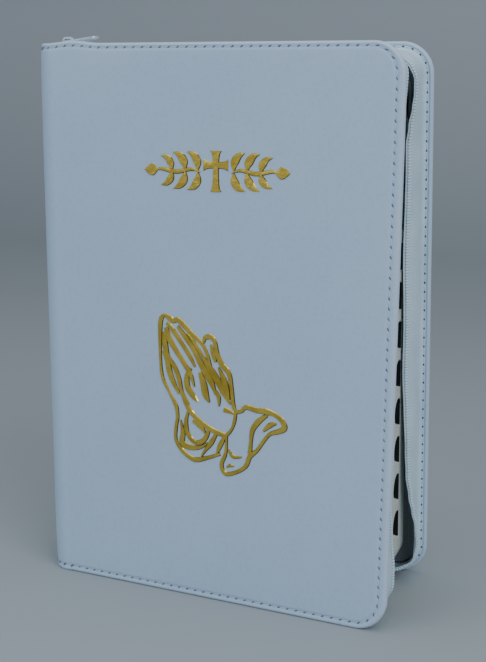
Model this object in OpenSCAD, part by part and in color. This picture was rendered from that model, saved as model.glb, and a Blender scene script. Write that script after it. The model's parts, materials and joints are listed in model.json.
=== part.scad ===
// Zip-around prayer book: two stiff leather covers, a soft spine, a thumb-indexed page block
// and a coil zipper that runs round the three free edges.
// X runs from the spine to the fore edge, Y from the front cover to the back cover, Z is up.
// The book stands on its bottom edge. Both covers stand a little open.

/* [Cover] */
// Width of the closed book from spine to fore edge
cover_w = 146; // [125:1:175]
// Height of the covers
cover_h = 210; // [180:1:250]
// Radius of the two fore-edge corners of a cover
corner_r = 12; // [9:1:20]
// Thickness of the leather on the outside of a cover
leather_t = 1.0; // [0.8:0.1:1.5]
// Thickness of the board inside a cover
board_t = 1.2; // [1:0.1:2]
// Thickness of the lining on the inside of a cover
lining_t = 0.8; // [0.5:0.1:1]
// Width of the leather rim that folds round the board
rim_w = 2.0; // [1.5:0.5:4]
// Angle between the front cover and the page block at rest
front_open = 5.9; // [1:0.1:20]
// Angle between the back cover and the page block at rest
back_open = 1.5; // [1:0.1:10]

/* [Spine] */
// Distance from the spine to the two cover hinges
hinge_x = 9; // [8.5:0.5:12]
// Radius of the spine's long outer corners
spine_r = 8; // [6:0.5:8]
// Thickness of the spine leather
spine_leather_t = 1.2; // [0.8:0.1:1.4]
// Thickness of the spine lining
spine_lining_t = 1.2; // [0.8:0.1:1.4]

/* [Page block] */
// Thickness of the page block
block_t = 31; // [24:1:40]
// Distance from the spine to the back edge of the pages
block_x = 4.5; // [4.5:0.5:6]
// Overhang of the covers past the pages at the top and bottom
overhang_z = 7.5; // [7:0.5:12]
// Overhang of the covers past the pages at the fore edge
overhang_x = 8; // [7.5:0.5:14]
// Radius of the two fore-edge corners of the pages
page_corner_r = 9; // [5:1:15]
// Gap between the closed cover and the page block
cover_gap = 0.7; // [0.6:0.1:2]
// Thickness of a flyleaf
flyleaf_t = 0.25; // [0.2:0.05:0.3]
// Radius of the headband bead
headband_r = 1.3; // [0.8:0.1:1.3]

/* [Thumb index] */
// Number of index cuts in each of the two full columns
index_rows = 12; // [6:1:12]
// Number of index cuts in the short last column
index_last_rows = 5; // [1:1:12]
// Height from one index cut to the next
index_pitch = 15; // [13:0.1:15]
// Radius of an index cut
index_r = 6; // [4:0.5:6]
// Depth through the leaves of the front column's first cut
index_front_depth = 6; // [4.5:0.1:6]
// Depth through the leaves of the back column's first cut, which starts in the front half
index_back_depth = 7.4; // [5.8:0.1:7.6]
// Depth through the leaves of the last column's first cut
index_last_depth = 3.6; // [2:0.1:3.6]
// Distance of the front column's first label from the middle of the block
index_front_y = 9.6; // [9.5:0.1:10]
// Distance of the back column's first label from the middle of the block
index_back_y = 5.2; // [5.2:0.1:6.6]
// Distance of the last column's first label from the middle of the block
index_last_y = 11.6; // [11.4:0.1:12]
// Step of the labels through the block from one row to the next
index_step = 0.14; // [0.05:0.01:0.15]
// Thickness of a label
label_t = 0.3; // [0.2:0.1:0.5]

/* [Zipper] */
// Distance from the cover edge to the middle of the tape
tape_inset = 3.5; // [3:0.5:4]
// Thickness of the tape
tape_t = 0.6; // [0.4:0.1:0.8]
// Distance from the tape's free edge to the middle of the closed book
tape_gap = 1.0; // [1:0.1:2]
// Width of the coil along the free edge of the tape
coil_w = 2.0; // [1.5:0.1:2.5]
// Thickness of the coil
coil_t = 1.5; // [1.2:0.1:1.5]
// Length of a zipper end stop
stop_l = 2.0; // [1.5:0.5:3]
// Length of the slider
slider_l = 8; // [7:0.5:9]
// Width of the slider
slider_w = 9; // [8.5:0.5:10]
// Thickness of each slider plate
slider_plate_t = 0.9; // [0.7:0.1:1]
// Length of the pull from its pivot
pull_l = 13; // [11:1:18]
// Width of the pull
pull_w = 5.2; // [4.8:0.1:6]
// Angle of the pull above level at rest
pull_tilt = 8; // [6:1:30]

/* [Gilding] */
// Distance from the spine to the middle of the ornament
ornament_x = 75.7; // [65:0.1:85]
// Height of the middle of the ornament
ornament_z = 163.9; // [150:0.1:180]
// Width of the ornament
ornament_w = 58; // [50:1:70]
// Distance from the spine to the middle of the praying hands
hands_x = 78.5; // [70:0.5:85]
// Height of the middle of the praying hands
hands_z = 80; // [70:1:100]
// Height of the praying hands
hands_h = 60; // [45:1:65]
// Thickness of the gold foil
foil_t = 0.12; // [0.1:0.01:0.2]

/* [Hidden] */
$fn = 64;
over = 1; // how far a cutting shape runs past the face it cuts

cover_t = leather_t + board_t + lining_t;
hinge_r = cover_t / 2;
hinge_y = block_t / 2 + cover_gap + cover_t / 2;
spine_half = hinge_y + cover_t / 2;
arm = cover_w - hinge_x;
hinge_gap = 0.6; // free leather between the spine and the hinge
spine_end = hinge_x - hinge_r - hinge_gap;
spine_t = spine_leather_t + spine_lining_t;
half_gap = 0.15; // half of the gap between the two halves of the book
spine_lining_in = 6.5; // the spine lining stops short of both ends, which leaves room for the slider
pocket_x = 2.5; // leather that is solid beside the hinge
flyleaf_in = 1.5; // the flyleaf starts clear of the spine's inner corner
headband_in = 0.3; // a headband stops short of the block's side

block_w = cover_w - overhang_x - block_x;
block_h = cover_h - 2 * overhang_z;
index_rise = 3.7; // the two full columns sit above the middle of the block
index_last_drop = 4.4; // the last column starts below the other two
index_top = cover_h / 2 + (index_rows - 1) / 2 * index_pitch + index_rise;
index_last_top = index_top - index_last_drop;
label_margin = 0.9; // paper that shows round a label
label_r = index_r - label_margin;

// the stitch line runs further in from the fore edge than from the top and bottom
stitch_inset_x = 3.3;
stitch_inset_z = 2.2;
stitch_w = 0.6;
stitch_t = 0.4; // the thread fills a groove and ends level with the leather

tape_free_y = hinge_y - tape_gap;
coil_y = tape_free_y - coil_w;
front_tape_x = 4; // the front tape starts beside the spine, past the slider
back_tape_x = -4; // the back tape starts inside the slider
tape_z = cover_h - tape_inset;

slit_h = coil_t + 0.6;
chamber_h = coil_t + 1.4;
slider_x = 1.9;
lip_w = 0.9; // rolled edge along each side of a slider plate
post_play = 0.3;
post_w = 2 * (tape_gap - post_play);
post_l = 2.2;
slider_top = tape_z + chamber_h / 2 + slider_plate_t;

bridge_w = 2.2;
bridge_l = 4.6;
bridge_h = 3.75;
bridge_r = 1.5; // round upper corners of the bridge
bridge_wall = 0.8;
bridge_in = 0.5;
bridge_x = slider_x + bridge_in;
bar_r = 0.6;
pull_t = 1.0;
pivot_in = 2.0;
pivot_up = 1.75;
pivot_x = bridge_x + pivot_in;
pivot_z = slider_top + pivot_up;
pull_window_l = 4.9;
pull_window_w = 3.0;
pull_slot_w = 1.6;
pull_slot_in = 2.8; // from the round end of the pull to the end of its slot's straight part
pull_slot_gap = 2; // from the window to the start of the slot's straight part

cross_h = 14.8;
cross_w = 2.2;
cross_arm = 8.4;
cross_arm_up = 2.2;
stem_h = 0.8;
leaf_start = 9; // from the middle of the cross to the first leaf
leaf_step = 7;
leaf_size = 4.4;
leaf_shrink = 0.8; // each next leaf is this much smaller
bud_r = 2.5;

hands_points = [[-0.38, 0.51], [-0.28, 0.47], [-0.14, 0.36], [-0.03, 0.28], [0.07, 0.13], [0.12, -0.03],
    [0.25, 0.0], [0.42, -0.08], [0.33, -0.23], [0.2, -0.36], [0.07, -0.5], [-0.03, -0.38], [-0.22, -0.37],
    [-0.3, -0.33], [-0.33, -0.17], [-0.39, 0.0], [-0.43, 0.17], [-0.42, 0.37]];

// the model's origin is under the middle of its bounding box
reach_x = hinge_x + arm * cos(back_open) + hinge_r * sin(back_open);
front_y = hinge_y + arm * sin(front_open) + hinge_r * cos(front_open);
back_y = hinge_y + arm * sin(back_open) + hinge_r * cos(back_open);

module placed() {
    translate([-reach_x / 2, (front_y - back_y) / 2, 0]) children();
}

// a cover is drawn with its hinge axis on Z, its outside at -Y and its inside at +Y
module on_front_cover() {
    placed() translate([hinge_x, -hinge_y, 0]) rotate([0, 0, -front_open]) children();
}

module on_back_cover() {
    placed() translate([hinge_x, hinge_y, 0]) rotate([0, 0, back_open]) mirror([0, 1, 0]) children();
}

// a book half is drawn on the front side, from y = -half_gap towards -Y
module on_half(back) {
    placed() mirror([0, back ? 1 : 0, 0]) children();
}

// stands a drawing on its bottom edge, with its thickness from y0 to y0 + t
module upright(y0, t) {
    translate([0, y0 + t, 0]) rotate([90, 0, 0]) linear_extrude(t) children();
}

// a rectangle with round corners on its fore-edge side only
module leaf(w, h, r) {
    square([w - r, h]);
    translate([0, r]) square([w, h - 2 * r]);
    for (z = [r, h - r]) translate([w - r, z]) circle(r);
}

// a cover-shaped leaf from x0, moved in by x_in at the fore edge and z_in at the top and bottom
module inset_leaf(x0, x_in, z_in) {
    translate([x0, z_in]) leaf(arm - x_in - x0, cover_h - 2 * z_in, corner_r - max(x_in, z_in));
}

// a band of width w that follows the three free edges of a cover
module edge_band(x0, x_in, z_in, w) {
    difference() {
        inset_leaf(x0, x_in, z_in);
        inset_leaf(x0 - over, x_in + w, z_in + w);
    }
}

module cover_leather() {
    difference() {
        union() {
            upright(-cover_t / 2, cover_t) leaf(arm, cover_h, corner_r);
            cylinder(r = hinge_r, h = cover_h);
        }
        upright(-cover_t / 2 + leather_t, cover_t) inset_leaf(pocket_x, rim_w, rim_w);
        cover_stitching();
    }
}

module cover_board() {
    upright(-cover_t / 2 + leather_t, board_t) inset_leaf(pocket_x, rim_w, rim_w);
}

module cover_lining() {
    upright(cover_t / 2 - lining_t, lining_t) inset_leaf(pocket_x, rim_w, rim_w);
}

module cover_stitching() {
    upright(-cover_t / 2, stitch_t) edge_band(pocket_x, stitch_inset_x, stitch_inset_z, stitch_w);
}

module zip_tape(x0) {
    upright(cover_t / 2, coil_y - cover_t / 2)
        edge_band(x0, tape_inset - tape_t / 2, tape_inset - tape_t / 2, tape_t);
}

// the coil runs along the tape's free edge and leaves room for the end stops
module zip_coil(x0, top_x, bottom_x) {
    difference() {
        upright(coil_y, coil_w) edge_band(x0, tape_inset - coil_t / 2, tape_inset - coil_t / 2, coil_t);
        translate([x0 - over, coil_y - over, cover_h / 2])
            cube([top_x - x0 + over, coil_w + 2 * over, cover_h]);
        translate([x0 - over, coil_y - over, -cover_h / 2])
            cube([bottom_x - x0 + over, coil_w + 2 * over, cover_h]);
    }
}

module end_stop(x, z) {
    translate([x, coil_y, z - coil_t / 2]) cube([stop_l, coil_w, coil_t]);
}

// one half of the rounded spine wall between two distances in from the outside
module spine_wall(outer, inner, z_in) {
    centre_y = -spine_half + spine_r;
    translate([0, 0, z_in]) linear_extrude(cover_h - 2 * z_in) intersection() {
        translate([0, -spine_half]) square([spine_end, spine_half - half_gap]);
        difference() {
            union() {
                translate([spine_r, centre_y]) circle(spine_r - outer);
                translate([outer, centre_y]) square([spine_r, -centre_y]);
            }
            translate([spine_r, centre_y]) circle(spine_r - inner);
            translate([inner, centre_y]) square([spine_r + over, -centre_y]);
        }
    }
}

module spine_pad() {
    translate([spine_t, -spine_half + spine_r, overhang_z])
        cube([block_x - spine_t, spine_half - spine_r - half_gap, block_h]);
}

module headbands() {
    length = block_t / 2 - half_gap - headband_in;
    difference() {
        for (z = [overhang_z, overhang_z + block_h])
            translate([block_x + headband_r, -half_gap, z]) rotate([90, 0, 0])
                cylinder(r = headband_r, h = length);
        translate([0, -block_t, overhang_z]) cube([block_x + 3 * headband_r, block_t, block_h]);
    }
}

// each cut is [height, place in Y of its label, depth of the cut through the leaves]
// all cuts of a column start at the same leaf, and each next one goes a step deeper
function index_column(rows, top, flat, depth) =
    [for (row = [0 : rows - 1])
        [top - row * index_pitch, flat + row * index_step, depth + row * index_step]];
front_column = index_column(index_rows, index_top, -index_front_y, index_front_depth);
back_columns = concat(index_column(index_rows, index_top, index_back_y, index_back_depth),
    index_column(index_last_rows, index_last_top, index_last_y, index_last_depth));
all_columns = concat(front_column, back_columns);

// a cut is part of a ball that ends flat at the label
module index_cuts(columns) {
    for (cut = columns)
        translate([block_x + block_w, cut[1], cut[0]]) difference() {
            translate([0, index_r - cut[2], 0]) sphere(index_r);
            translate([-index_r, 0, -index_r]) cube(2 * index_r);
        }
}

module index_labels(columns) {
    for (cut = columns)
        translate([block_x + block_w, cut[1], cut[0]]) rotate([90, 0, 0]) intersection() {
            cylinder(r = label_r, h = label_t);
            translate([-index_r, -index_r, 0]) cube([index_r, 2 * index_r, label_t]);
        }
}

module pages(y0, t, columns) {
    difference() {
        translate([block_x, 0, overhang_z]) upright(y0, t) leaf(block_w, block_h, page_corner_r);
        index_cuts(columns);
    }
}

module flyleaf() {
    translate([block_x + flyleaf_in, 0, overhang_z])
        upright(-block_t / 2 - flyleaf_t, flyleaf_t) leaf(block_w - flyleaf_in, block_h, page_corner_r);
}

module foil(x, z) {
    translate([x - hinge_x, 0, z]) upright(-cover_t / 2 - foil_t, foil_t) children();
}

module in_slider() {
    on_back_cover() translate([-hinge_x, hinge_y, 0]) children();
}

module front_leather() color("aliceblue") on_front_cover() cover_leather();
module front_board() color("tan") on_front_cover() cover_board();
module front_lining() color("dimgray") on_front_cover() cover_lining();
module front_stitching() color("lightsteelblue") on_front_cover() cover_stitching();

module front_ornament() color("goldenrod") on_front_cover() foil(ornament_x, ornament_z) {
    square([cross_w, cross_h], center = true);
    translate([0, cross_arm_up]) square([cross_arm, cross_w], center = true);
    for (side = [-1, 1]) {
        translate([side * (ornament_w + 2 * leaf_start) / 4, 0])
            square([ornament_w / 2 - leaf_start, stem_h], center = true);
        for (i = [0 : 2])
            translate([side * (leaf_start + i * leaf_step), 0]) rotate(45)
                square(leaf_size - leaf_shrink * i, center = true);
        translate([side * (ornament_w / 2 - bud_r), 0]) circle(bud_r);
    }
}

module front_hands() color("goldenrod") on_front_cover() foil(hands_x, hands_z)
    polygon([for (p = hands_points) hands_h * p]);

module front_tape() color("whitesmoke") on_front_cover() zip_tape(front_tape_x);
module front_coil() color("gainsboro") on_front_cover()
    zip_coil(front_tape_x, front_tape_x + stop_l, front_tape_x + stop_l);

module front_stops() color("silver") on_front_cover() {
    end_stop(front_tape_x, tape_z);
    end_stop(front_tape_x, tape_inset);
}

module back_leather() color("aliceblue") on_back_cover() cover_leather();
module back_board() color("tan") on_back_cover() cover_board();
module back_lining() color("dimgray") on_back_cover() cover_lining();
module back_stitching() color("lightsteelblue") on_back_cover() cover_stitching();
module back_tape() color("whitesmoke") on_back_cover() zip_tape(back_tape_x);
module back_coil() color("gainsboro") on_back_cover()
    zip_coil(back_tape_x, back_tape_x, back_tape_x + stop_l);
module back_stop() color("silver") on_back_cover() end_stop(back_tape_x, tape_inset);

// a bar from x0 to x1 and from y0 to y1, with its height centred on z = 0
module bar(x0, x1, y0, y1, h) {
    translate([x0, y0, -h / 2]) cube([x1 - x0, y1 - y0, h]);
}

module slider_body() color("silver") in_slider() translate([slider_x, 0, tape_z]) difference() {
    side_y = slider_w / 2;
    bar(0, slider_l, -side_y, side_y, chamber_h + 2 * slider_plate_t);
    // one chamber for both coils behind the post
    bar(-over, slider_l - post_l, -side_y + lip_w, side_y - lip_w, chamber_h);
    // a lane for each coil beside the post, and a slit that lets each tape out
    for (side = [0, 1]) mirror([0, side, 0]) {
        bar(-over, slider_l + over, post_w / 2, side_y - lip_w, chamber_h);
        bar(-over, slider_l + over, post_w / 2, side_y + over, slit_h);
    }
}

module slider_bridge() color("silver") in_slider()
    translate([bridge_x, 0, slider_top]) upright(-bridge_w / 2, bridge_w) difference() {
        bridge_arch(0, bridge_h);
        bridge_arch(bridge_wall, bridge_h - bridge_wall);
    }

module bridge_arch(x_in, h) {
    r = bridge_r - x_in / 2;
    translate([x_in, 0]) square([bridge_l - 2 * x_in, h - r]);
    translate([x_in + r, 0]) square([bridge_l - 2 * x_in - 2 * r, h]);
    for (x = [x_in + r, bridge_l - x_in - r]) translate([x, h - r]) circle(r);
}

module pull_tab() color("silver") in_slider()
    translate([pivot_x, 0, pivot_z]) rotate([0, -pull_tilt, 0]) {
        rotate([90, 0, 0]) translate([0, 0, -pull_w / 2]) cylinder(r = bar_r, h = pull_w);
        translate([0, 0, -pull_t / 2]) linear_extrude(pull_t) difference() {
            union() {
                translate([0, -pull_w / 2]) square([pull_l - pull_w / 2, pull_w]);
                translate([pull_l - pull_w / 2, 0]) circle(pull_w / 2);
            }
            translate([-over, -pull_window_w / 2]) square([pull_window_l + over, pull_window_w]);
            hull() for (x = [pull_window_l + pull_slot_gap, pull_l - pull_slot_in])
                translate([x, 0]) circle(pull_slot_w / 2);
        }
    }

module spine_leather_front() color("aliceblue") on_half(false) spine_wall(0, spine_leather_t, 0);
module spine_leather_back() color("aliceblue") on_half(true) spine_wall(0, spine_leather_t, 0);
module spine_lining_front() color("dimgray") on_half(false)
    spine_wall(spine_leather_t, spine_t, spine_lining_in);
module spine_lining_back() color("dimgray") on_half(true)
    spine_wall(spine_leather_t, spine_t, spine_lining_in);
module spine_pad_front() color("wheat") on_half(false) spine_pad();
module spine_pad_back() color("wheat") on_half(true) spine_pad();
module headbands_front() color("white") on_half(false) headbands();
module headbands_back() color("white") on_half(true) headbands();
module front_pages() color("ivory") placed()
    pages(-block_t / 2, block_t / 2 - half_gap, all_columns);
module back_pages() color("ivory") placed()
    pages(half_gap, block_t / 2 - half_gap, all_columns);
module front_flyleaf() color("white") on_half(false) flyleaf();
module back_flyleaf() color("white") on_half(true) flyleaf();
module front_index_labels() color("black") placed() index_labels(front_column);
module back_index_labels() color("black") placed() index_labels(back_columns);

front_leather();
front_board();
front_lining();
front_stitching();
front_ornament();
front_hands();
front_tape();
front_coil();
front_stops();
back_leather();
back_board();
back_lining();
back_stitching();
back_tape();
back_coil();
back_stop();
slider_body();
slider_bridge();
pull_tab();
spine_leather_front();
spine_leather_back();
spine_lining_front();
spine_lining_back();
spine_pad_front();
spine_pad_back();
headbands_front();
headbands_back();
front_pages();
back_pages();
front_flyleaf();
back_flyleaf();
front_index_labels();
back_index_labels();
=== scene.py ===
import json
import math

import bmesh
import bpy
from mathutils import Matrix, Vector, noise
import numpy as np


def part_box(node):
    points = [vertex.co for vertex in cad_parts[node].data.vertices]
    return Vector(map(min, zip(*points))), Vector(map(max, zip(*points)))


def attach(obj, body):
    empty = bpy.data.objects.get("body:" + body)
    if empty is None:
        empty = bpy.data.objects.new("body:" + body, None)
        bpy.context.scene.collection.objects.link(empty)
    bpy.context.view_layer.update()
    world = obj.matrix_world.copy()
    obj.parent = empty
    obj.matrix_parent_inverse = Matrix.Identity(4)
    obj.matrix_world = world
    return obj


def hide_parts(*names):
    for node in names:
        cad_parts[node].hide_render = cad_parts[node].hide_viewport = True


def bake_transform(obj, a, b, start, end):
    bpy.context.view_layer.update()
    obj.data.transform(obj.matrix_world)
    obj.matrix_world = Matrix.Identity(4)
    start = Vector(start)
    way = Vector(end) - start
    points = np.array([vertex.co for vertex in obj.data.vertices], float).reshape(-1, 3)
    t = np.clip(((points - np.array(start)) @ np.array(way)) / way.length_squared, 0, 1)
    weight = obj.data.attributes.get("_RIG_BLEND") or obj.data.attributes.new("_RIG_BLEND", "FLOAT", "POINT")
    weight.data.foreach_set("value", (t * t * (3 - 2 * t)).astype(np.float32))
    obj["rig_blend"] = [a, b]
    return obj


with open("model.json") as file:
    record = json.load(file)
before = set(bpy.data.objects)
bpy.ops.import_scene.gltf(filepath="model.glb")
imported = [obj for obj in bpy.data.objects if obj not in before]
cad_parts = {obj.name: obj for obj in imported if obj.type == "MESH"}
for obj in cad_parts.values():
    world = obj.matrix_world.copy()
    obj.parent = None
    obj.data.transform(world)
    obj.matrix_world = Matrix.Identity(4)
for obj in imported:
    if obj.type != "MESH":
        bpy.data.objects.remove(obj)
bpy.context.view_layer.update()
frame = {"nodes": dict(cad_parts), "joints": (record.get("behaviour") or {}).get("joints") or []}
print("stage: the packed model is loaded")

mm = 0.001
jointNamed = {j["name"]: j for j in frame["joints"]}
spineLine = Vector(jointNamed["book_opening"]["pos_m"])  # middle of the spine's outside
frontHinge = Vector(jointNamed["front_cover_hinge"]["pos_m"])
hingeIn = frontHinge.x - spineLine.x
hingeOut = spineLine.y - frontHinge.y
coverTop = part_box("front_leather")[1].z
blockLow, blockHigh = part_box("back_pages")
front, back = -1, 1  # a cover's side of the book, and the sign of its Y

book = dict(
    arm=137 * mm,  # hinge to fore edge
    corner=12 * mm,
    thick=3 * mm,
    spineRound=8 * mm,
    softHinge=3 * mm,  # half of the strip of leather that bends beside the spine
    turning=(6.5 * mm, 11.5 * mm),  # x where the leather starts and ends its turn
    frontLean=(8.71, 3.16),  # degrees the front cover stands open at its bottom and its top
    backLean=(3.14, 0.0),
)
halfThick = book["thick"] / 2
flatEnd = book["spineRound"] - hingeIn  # here the leather starts to turn round the spine's corner
spineMid = flatEnd - book["spineRound"] * math.pi / 2 - (hingeOut + halfThick - book["spineRound"])


def fromBook(x, y, z):  # x in from the spine, y from the middle of the block
    return Vector((spineLine.x + x, spineLine.y + y, z))


def show(thing):
    bpy.context.scene.collection.objects.link(thing)


# the camera comes first
view = dict(place=(251.1, -491.5, 204.3), turn=19.54, down=11.31, roll=-0.306, lens=74.3)


def makeCamera():
    turn, down, roll = (math.radians(view[k]) for k in ("turn", "down", "roll"))
    ahead = Vector((-math.sin(turn) * math.cos(down), math.cos(turn) * math.cos(down), -math.sin(down)))
    right = Vector((math.cos(turn), math.sin(turn), 0))
    above = right.cross(ahead)
    rightRolled = right * math.cos(roll) + above * math.sin(roll)
    aboveRolled = above * math.cos(roll) - right * math.sin(roll)
    lens = bpy.data.cameras.new("studioCamera")
    lens.lens = view["lens"]
    lens.clip_start, lens.clip_end = 0.05, 20
    camera = bpy.data.objects.new("studioCamera", lens)
    x, y, z = view["place"]
    camera.matrix_world = Matrix.Translation(fromBook(x * mm, y * mm, z * mm)) @ Matrix(
        (rightRolled, aboveRolled, -ahead)).transposed().to_4x4()
    show(camera)
    bpy.context.scene.camera = camera


makeCamera()


# shader groups that several finishes share
def newGroup(name, inputs, outputs):
    tree = bpy.data.node_groups.new(name, "ShaderNodeTree")
    for label, kind, value in inputs:
        socket = tree.interface.new_socket(label, in_out="INPUT", socket_type=kind)
        if value is not None:
            socket.default_value = value
    for label, kind in outputs:
        tree.interface.new_socket(label, in_out="OUTPUT", socket_type=kind)
    return tree, tree.nodes.new("NodeGroupInput").outputs, tree.nodes.new("NodeGroupOutput").inputs


def addNode(tree, kind, settings=(), **values):
    node = tree.nodes.new(kind)
    for key, value in dict(settings).items():
        setattr(node, key, value)
    for key, value in values.items():
        socket = node.inputs[int(key[1:])] if key[0] == "i" and key[1:].isdigit() else node.inputs[key]
        if isinstance(value, bpy.types.NodeSocket):
            tree.links.new(value, socket)
        else:
            socket.default_value = value
    return node


def mathNode(tree, operation, a, b=0.0):
    return addNode(tree, "ShaderNodeMath", dict(operation=operation), i0=a, i1=b).outputs[0]


def remap(tree, value, **ends):
    return addNode(tree, "ShaderNodeMapRange", i0=value, **ends).outputs[0]


def makeGrainGroup():  # creased cells with finer pores between them
    tree, given, result = newGroup("leatherGrain", [("Vector", "NodeSocketVector", None),
        ("Cells", "NodeSocketFloat", 900.0), ("Pores", "NodeSocketFloat", 2600.0)],
        [("Height", "NodeSocketFloat"), ("Pits", "NodeSocketFloat")])
    cells = addNode(tree, "ShaderNodeTexVoronoi", dict(feature="SMOOTH_F1"), Vector=given["Vector"],
        Scale=given["Cells"], Smoothness=0.6)
    pores = addNode(tree, "ShaderNodeTexNoise", Vector=given["Vector"], Scale=given["Pores"], Detail=3.0)
    height = mathNode(tree, "MULTIPLY_ADD", pores.outputs[0], 0.5)
    tree.links.new(mathNode(tree, "MULTIPLY", cells.outputs[0], -0.8), height.node.inputs[2])
    tree.links.new(height, result["Height"])
    tree.links.new(mathNode(tree, "GREATER_THAN", cells.outputs[0], 0.62), result["Pits"])
    return tree


def makeDriftGroup():  # slow change of colour over a surface
    tree, given, result = newGroup("colourDrift", [("Vector", "NodeSocketVector", None),
        ("Scale", "NodeSocketFloat", 20.0), ("Light", "NodeSocketColor", None),
        ("Dark", "NodeSocketColor", None)],
        [("Color", "NodeSocketColor"), ("Mask", "NodeSocketFloat")])
    broad = addNode(tree, "ShaderNodeTexNoise", Vector=given["Vector"], Scale=given["Scale"], Detail=4.0)
    mask = remap(tree, broad.outputs[0], i1=0.3, i2=0.7)
    mix = addNode(tree, "ShaderNodeMix", dict(data_type="RGBA"), i0=mask, i6=given["Light"], i7=given["Dark"])
    tree.links.new(mix.outputs[2], result["Color"])
    tree.links.new(mask, result["Mask"])
    return tree


def makeWeaveGroup():  # threads that pass over and under each other
    tree, given, result = newGroup("wovenThreads", [("Vector", "NodeSocketVector", None),
        ("Across", "NodeSocketFloat", 2000.0), ("Along", "NodeSocketFloat", 2000.0)],
        [("Height", "NodeSocketFloat"), ("Gaps", "NodeSocketFloat")])
    parts = addNode(tree, "ShaderNodeSeparateXYZ", Vector=given["Vector"])
    waves = []
    for axis, label in ((0, "Along"), (1, "Across")):
        counted = mathNode(tree, "MULTIPLY", parts.outputs[axis], given[label])
        waves.append(mathNode(tree, "SINE", mathNode(tree, "MULTIPLY", counted, math.pi)))
    crossing = mathNode(tree, "GREATER_THAN", mathNode(tree, "MULTIPLY", waves[0], waves[1]), 0.0)
    bumps = [mathNode(tree, "ABSOLUTE", wave) for wave in waves]
    mixed = addNode(tree, "ShaderNodeMix", dict(data_type="FLOAT"), i0=crossing, i2=bumps[0], i3=bumps[1])
    height = mixed.outputs[0]
    tree.links.new(height, result["Height"])
    tree.links.new(mathNode(tree, "LESS_THAN", height, 0.35), result["Gaps"])
    return tree


groups = dict(grain=makeGrainGroup(), drift=makeDriftGroup(), weave=makeWeaveGroup())


def useGroup(tree, name, **values):
    node = tree.nodes.new("ShaderNodeGroup")
    node.node_tree = groups[name]
    for key, value in values.items():
        if isinstance(value, bpy.types.NodeSocket):
            tree.links.new(value, node.inputs[key])
        else:
            node.inputs[key].default_value = value
    return node.outputs


def newFinish(name, rough, **surface):
    finish = bpy.data.materials.new(name)
    finish.use_nodes = True
    tree = finish.node_tree
    bsdf = tree.nodes["Principled BSDF"]
    bsdf.inputs["Roughness"].default_value = rough
    for key, value in surface.items():
        bsdf.inputs[key.replace("_", " ")].default_value = value
    return finish, tree, bsdf, tree.nodes.new("ShaderNodeTexCoord").outputs


def addBump(tree, bsdf, height, strength, distance):
    bump = addNode(tree, "ShaderNodeBump", Height=height, Strength=strength, Distance=distance)
    tree.links.new(bump.outputs[0], bsdf.inputs["Normal"])


def mixColour(tree, share, a, b):
    return addNode(tree, "ShaderNodeMix", dict(data_type="RGBA"), i0=share, i6=a, i7=b).outputs[2]


def driftColour(tree, bsdf, place, scale, light, dark):  # a slow change over the whole surface
    colour = useGroup(tree, "drift", Vector=place["Object"], Scale=scale, Light=light, Dark=dark)
    tree.links.new(colour["Color"], bsdf.inputs["Base Color"])
    return colour


def noiseBump(tree, bsdf, vector, scale, detail, strength, distance):
    rough = addNode(tree, "ShaderNodeTexNoise", Vector=vector, Scale=scale, Detail=detail)
    addBump(tree, bsdf, rough.outputs[0], strength, distance)


look = dict(
    leatherLight=(0.52, 0.67, 0.865, 1), leatherDark=(0.49, 0.635, 0.835, 1),
    leatherRimHighlight=(0.62, 0.755, 0.90, 1), thread=(0.53, 0.67, 0.84, 1),
    holeShade=(0.06, 0.08, 0.10, 1), holeShadeLight=(0.09, 0.11, 0.13, 1),
    creaseShade=(0.13, 0.17, 0.22, 1), creaseShadeLight=(0.20, 0.26, 0.33, 1),
    gold=(0.84, 0.62, 0.12, 1), goldDark=(0.54, 0.37, 0.05, 1),
    goldShade=(0.17, 0.11, 0.02, 1), goldShadeDark=(0.08, 0.05, 0.012, 1),
    tape=(0.70, 0.87, 0.99, 1), tapeShade=(0.53, 0.68, 0.80, 1),
    coil=(0.70, 0.82, 0.86, 1), coilGapShade=(0.36, 0.44, 0.48, 1), coilGapShadeDark=(0.28, 0.35, 0.39, 1),
    lining=(0.14, 0.155, 0.165, 1), liningShade=(0.085, 0.095, 0.105, 1), liningLit=(0.40, 0.43, 0.445, 1),
    page=(0.80, 0.83, 0.76, 1), pageShade=(0.52, 0.545, 0.51, 1), pageWarm=(0.74, 0.75, 0.70, 1),
    label=(0.004, 0.004, 0.005, 1), labelWorn=(0.012, 0.012, 0.014, 1),
    silkDark=(0.42, 0.48, 0.54, 1), silkLight=(0.78, 0.81, 0.82, 1),
    endpaper=(0.72, 0.73, 0.70, 1), endpaperShade=(0.66, 0.67, 0.64, 1),
    board=(0.33, 0.28, 0.21, 1), boardShade=(0.24, 0.20, 0.15, 1),
    mull=(0.55, 0.50, 0.40, 1), mullShade=(0.42, 0.38, 0.30, 1),
    metal=(0.62, 0.75, 0.89, 1), stopMetal=(0.62, 0.64, 0.66, 1),
)


def makeLeather():
    finish, tree, bsdf, place = newFinish("paleLeather", 0.46, Specular_IOR_Level=0.42)
    colour = useGroup(tree, "drift", Vector=place["Object"], Scale=24.0,
        Light=look["leatherLight"], Dark=look["leatherDark"])
    grain = useGroup(tree, "grain", Vector=place["Object"], Cells=850.0, Pores=2400.0)
    # a painted highlight along the rolled rim, read from the rim attribute
    rimHighlight = addNode(tree, "ShaderNodeAttribute", dict(attribute_name="rim")).outputs["Fac"]
    base = mixColour(tree, rimHighlight, colour["Color"], look["leatherRimHighlight"])
    # the grain's creases are darkened a little as painted shade
    pitted = mixColour(tree, mathNode(tree, "MULTIPLY", grain["Pits"], 0.04), base, look["holeShade"])
    tree.links.new(pitted, bsdf.inputs["Base Color"])
    rough = remap(tree, colour["Mask"], i3=0.42, i4=0.54)
    tree.links.new(rough, bsdf.inputs["Roughness"])
    addBump(tree, bsdf, grain["Height"], 0.22, 0.06 * mm)
    return finish


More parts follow.
